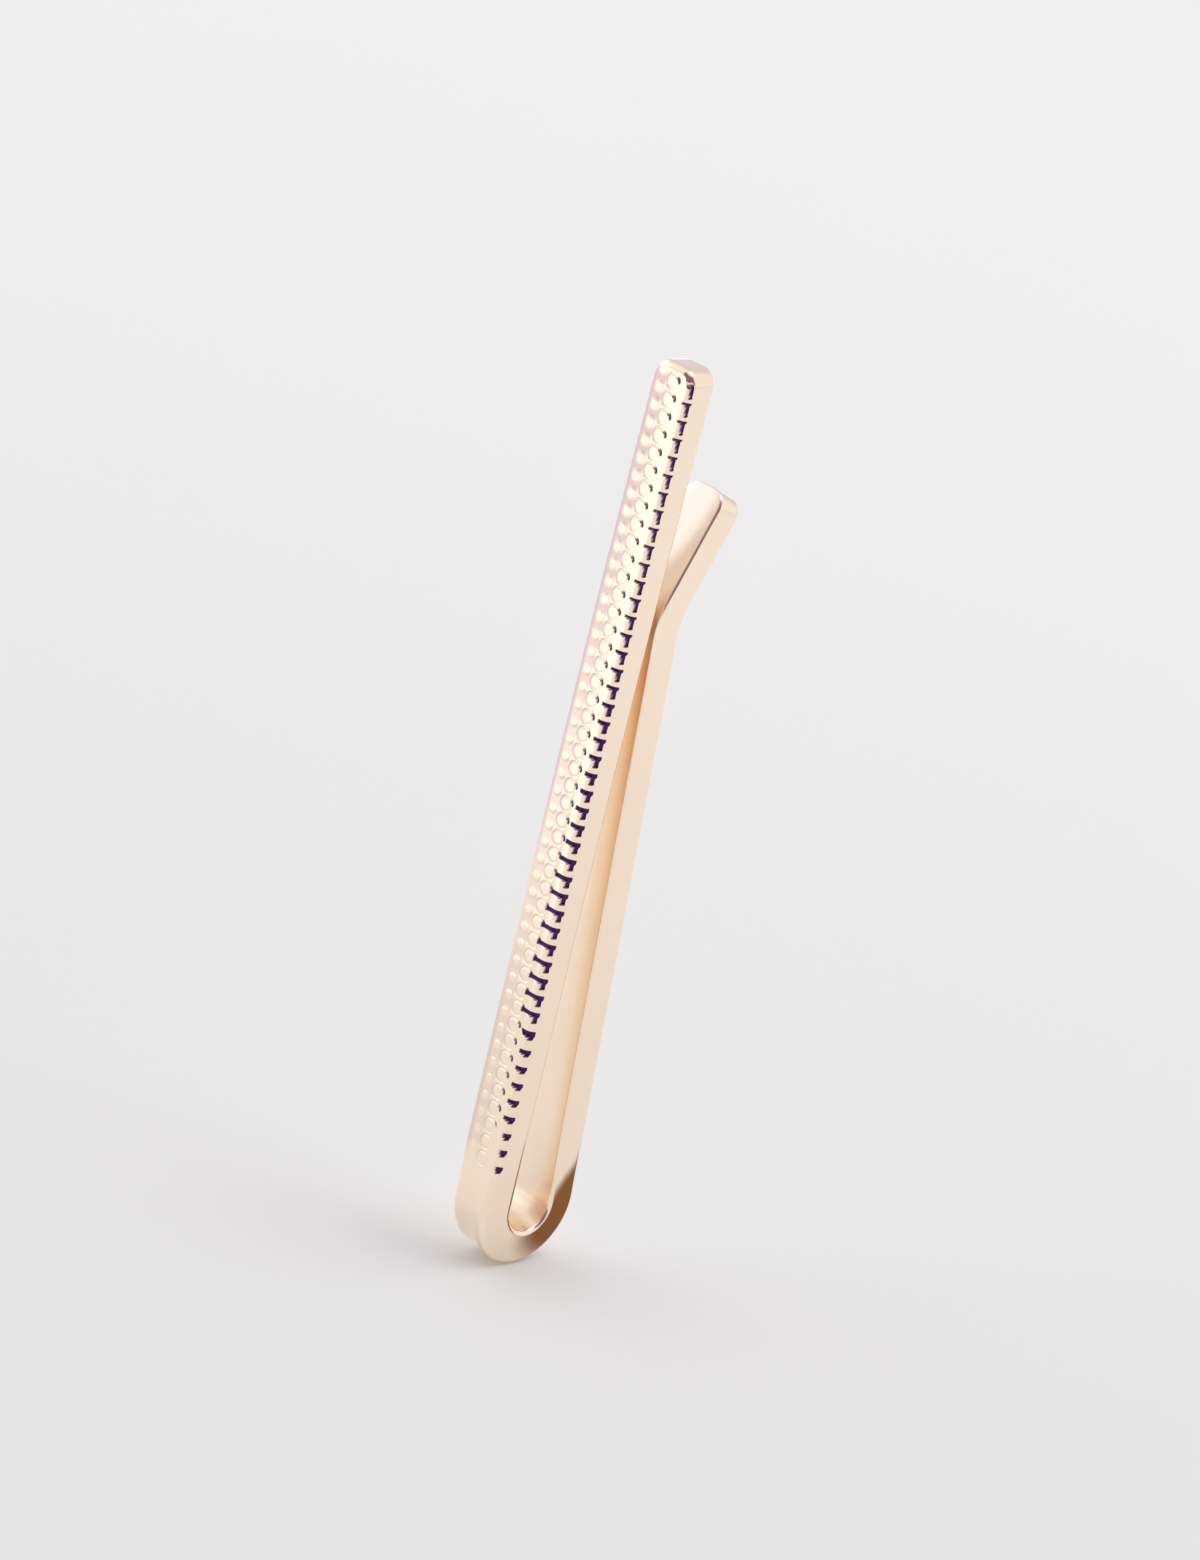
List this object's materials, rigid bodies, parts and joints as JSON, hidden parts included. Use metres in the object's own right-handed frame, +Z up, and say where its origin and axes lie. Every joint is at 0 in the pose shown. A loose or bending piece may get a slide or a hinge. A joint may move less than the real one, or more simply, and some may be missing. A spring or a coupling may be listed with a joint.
{
  "type": "tie clip",
  "caption": "Slide-on tie clip: a slim metal strip bent like a hairpin, with a beaded front bar and a sprung plain leg whose flared tip lets a tie slide in.",
  "frame": {"origin": "on the axis of the U-bend, at the closed end of the tie slot, in the middle of the strip's width", "axes": "+Z up the front bar towards the slot's open end, -Y towards the side that shows on a tie, +X to the right seen from that side"},
  "size_m": [0.0032, 0.0082, 0.06],
  "materials": {
    "rose_gold_bar": "polished rose-gold plate",
    "rose_gold_beads": "polished rose-gold plate on raised beads",
    "rose_gold_bow": "polished rose-gold plate, faintly drawn where it was bent",
    "rose_gold_leg": "polished rose-gold plate with a fine lengthwise grain"
  },
  "bodies": {
    "front_half": {"front_bar": "rose_gold_bar", "bead_column_left": "rose_gold_beads", "bead_column_middle": "rose_gold_beads", "bead_column_right": "rose_gold_beads", "spring_bow_front": "rose_gold_bow"},
    "spring_leg": {"spring_bow_rear": "rose_gold_bow", "rear_leg": "rose_gold_leg", "lead_in_tip": "rose_gold_leg"}
  },
  "joints": [
    {"name": "leg_spring", "type": "hinge", "parent": "front_half", "child": "spring_leg", "pos_m": [0, 0, -0.00395], "axis": [-1, 0, 0], "range_deg": [0, 4], "stiffness_Nm_per_rad": 0.3, "springref_deg": -2.86}
  ]
}
